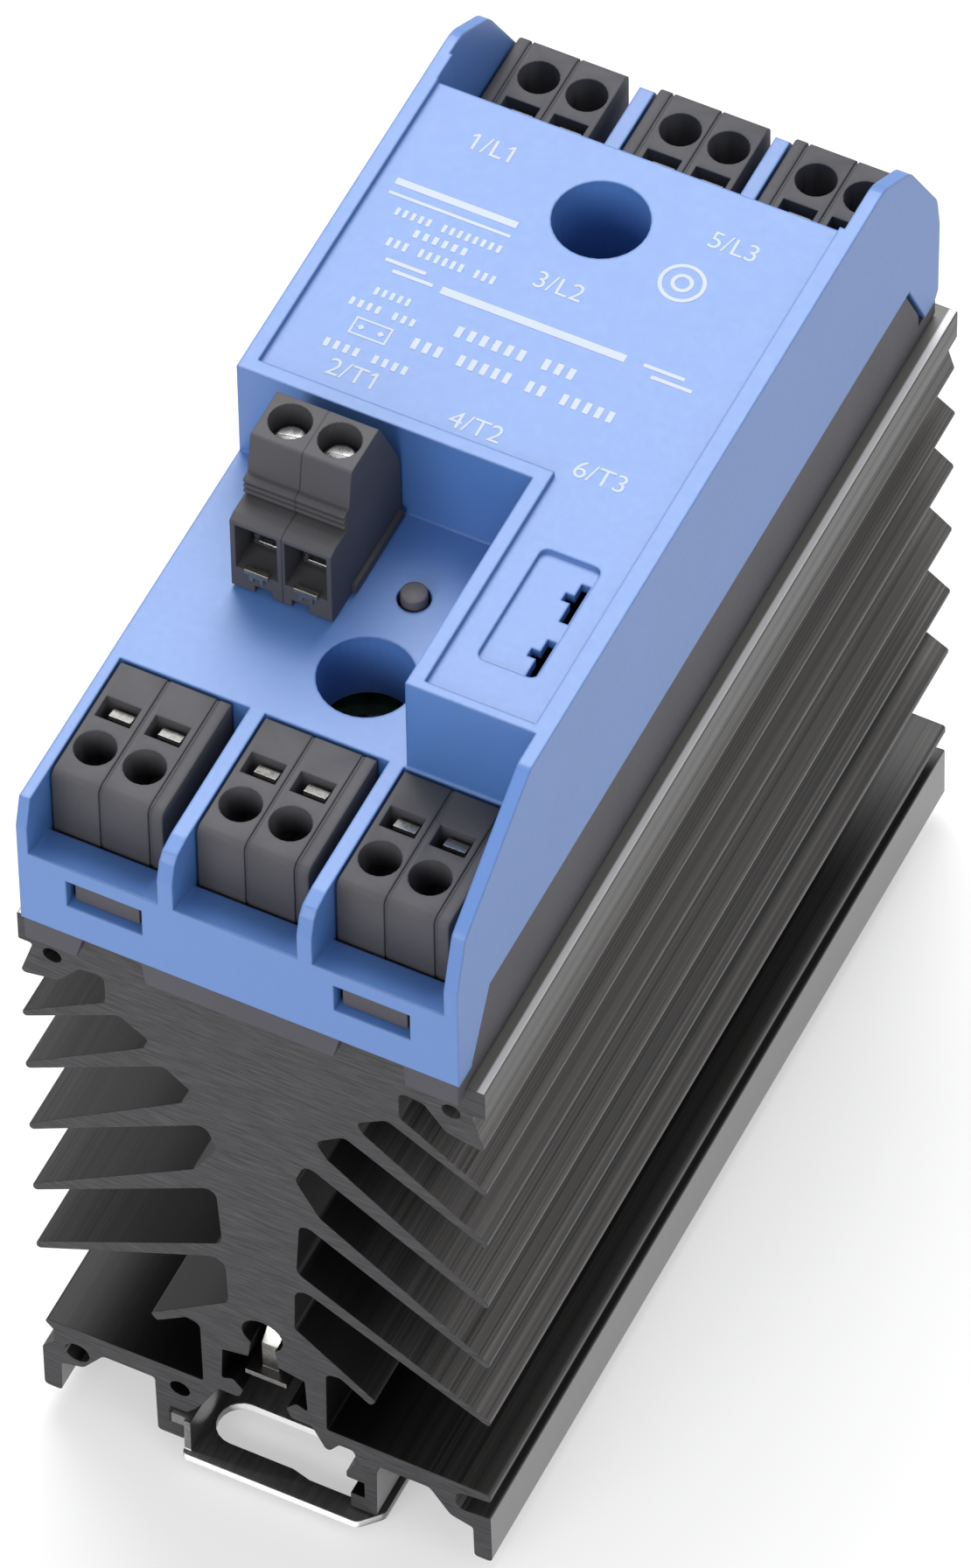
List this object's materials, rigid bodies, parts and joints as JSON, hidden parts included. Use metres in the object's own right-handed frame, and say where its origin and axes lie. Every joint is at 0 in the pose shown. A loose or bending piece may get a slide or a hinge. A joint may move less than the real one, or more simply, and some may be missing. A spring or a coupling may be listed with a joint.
{
  "type": "solid state relay",
  "caption": "Solid state relay for three phases: a moulded housing with spring terminals and a pull-off control plug, on a finned heatsink with a DIN-rail clip.",
  "frame": {"origin": "on the ground plane under the middle of the whole object, at the lowest point of the rail clip", "axes": "+X across the width, +Y from the load terminals at the sprung end of the clip to the line terminals at the fixed end, +Z away from the mounting rail, towards the panel"},
  "size_m": [0.0482, 0.1046, 0.1159],
  "materials": {
    "anodised": "black anodised extrusion with bright-edged sawn ends",
    "bare_aluminium": "satin",
    "blue_plastic": "fine-textured moulding",
    "grey_plastic": "fine-textured moulding",
    "terminal_plastic": "satin moulding",
    "plug_plastic": "satin moulding",
    "lens": "polished, smoky",
    "spring_steel": "bright strip",
    "plated_steel": "zinc plated",
    "tinned_copper": "satin",
    "laminate": "lacquered",
    "ceramic": "fired, matt",
    "thermal_film": "soft"
  },
  "bodies": {
    "relay": {"heatsink": "anodised", "base_plate": "bare_aluminium", "thermal_pad": "thermal_film", "circuit_board": "laminate", "housing_base": "grey_plastic", "housing_cover": "blue_plastic", "control_header": "grey_plastic", "indicator_lens": "lens", "mounting_screw_1": "plated_steel", "mounting_screw_2": "plated_steel", "washer_1": "plated_steel", "washer_2": "plated_steel", "rail_hook": "plated_steel", "latch_spring": "spring_steel", "terminal_load_1a": "terminal_plastic", "terminal_load_1b": "terminal_plastic", "terminal_load_2a": "terminal_plastic", "terminal_load_2b": "terminal_plastic", "terminal_load_3a": "terminal_plastic", "terminal_load_3b": "terminal_plastic", "terminal_line_1a": "terminal_plastic", "terminal_line_1b": "terminal_plastic", "terminal_line_2a": "terminal_plastic", "terminal_line_2b": "terminal_plastic", "terminal_line_3a": "terminal_plastic", "terminal_line_3b": "terminal_plastic", "end_plate_load_1": "terminal_plastic", "end_plate_load_2": "terminal_plastic", "end_plate_load_3": "terminal_plastic", "end_plate_line_1": "terminal_plastic", "end_plate_line_2": "terminal_plastic", "end_plate_line_3": "terminal_plastic", "clamp_spring_load_1a": "spring_steel", "clamp_spring_load_1b": "spring_steel", "clamp_spring_load_2a": "spring_steel", "clamp_spring_load_2b": "spring_steel", "clamp_spring_load_3a": "spring_steel", "clamp_spring_load_3b": "spring_steel", "clamp_spring_line_1a": "spring_steel", "clamp_spring_line_1b": "spring_steel", "clamp_spring_line_2a": "spring_steel", "clamp_spring_line_2b": "spring_steel", "clamp_spring_line_3a": "spring_steel", "clamp_spring_line_3b": "spring_steel", "contact_bar_load_1": "tinned_copper", "contact_bar_load_2": "tinned_copper", "contact_bar_load_3": "tinned_copper", "contact_bar_line_1": "tinned_copper", "contact_bar_line_2": "tinned_copper", "contact_bar_line_3": "tinned_copper", "power_module_1": "ceramic", "power_module_2": "ceramic", "power_module_3": "ceramic"},
    "slider": {"clip_slider": "plated_steel"},
    "plug": {"plug_body": "plug_plastic"},
    "screw_1": {"plug_screw_1": "plated_steel"},
    "screw_2": {"plug_screw_2": "plated_steel"},
    "clamp_1": {"plug_clamp_1": "plated_steel"},
    "clamp_2": {"plug_clamp_2": "plated_steel"}
  },
  "joints": [
    {"name": "slider_pull", "type": "slide", "parent": "relay", "child": "slider", "axis": [0, -1, 0], "range_m": [0, 0.004], "stiffness_N_per_m": 1500, "springref_m": -0.002},
    {"name": "plug_pull", "type": "slide", "parent": "relay", "child": "plug", "axis": [0, 0, 1], "range_m": [0, 0.012]},
    {"name": "screw_1_turn", "type": "hinge", "parent": "plug", "child": "screw_1", "pos_m": [-0.01324, -0.01375, 0.1135], "axis": [0, 0, -1], "range_deg": [0, 720.01]},
    {"name": "screw_2_turn", "type": "hinge", "parent": "plug", "child": "screw_2", "pos_m": [-0.00816, -0.01375, 0.1135], "axis": [0, 0, -1], "range_deg": [0, 720.01]},
    {"name": "clamp_1_rise", "type": "slide", "parent": "plug", "child": "clamp_1", "axis": [0, 0, 1], "range_m": [0, 0.001]},
    {"name": "clamp_2_rise", "type": "slide", "parent": "plug", "child": "clamp_2", "axis": [0, 0, 1], "range_m": [0, 0.001]}
  ],
  "couplings": [
    {"joint": "screw_1_turn", "follows": "clamp_1_rise", "rad_per_m": 12566},
    {"joint": "screw_2_turn", "follows": "clamp_2_rise", "rad_per_m": 12566}
  ]
}
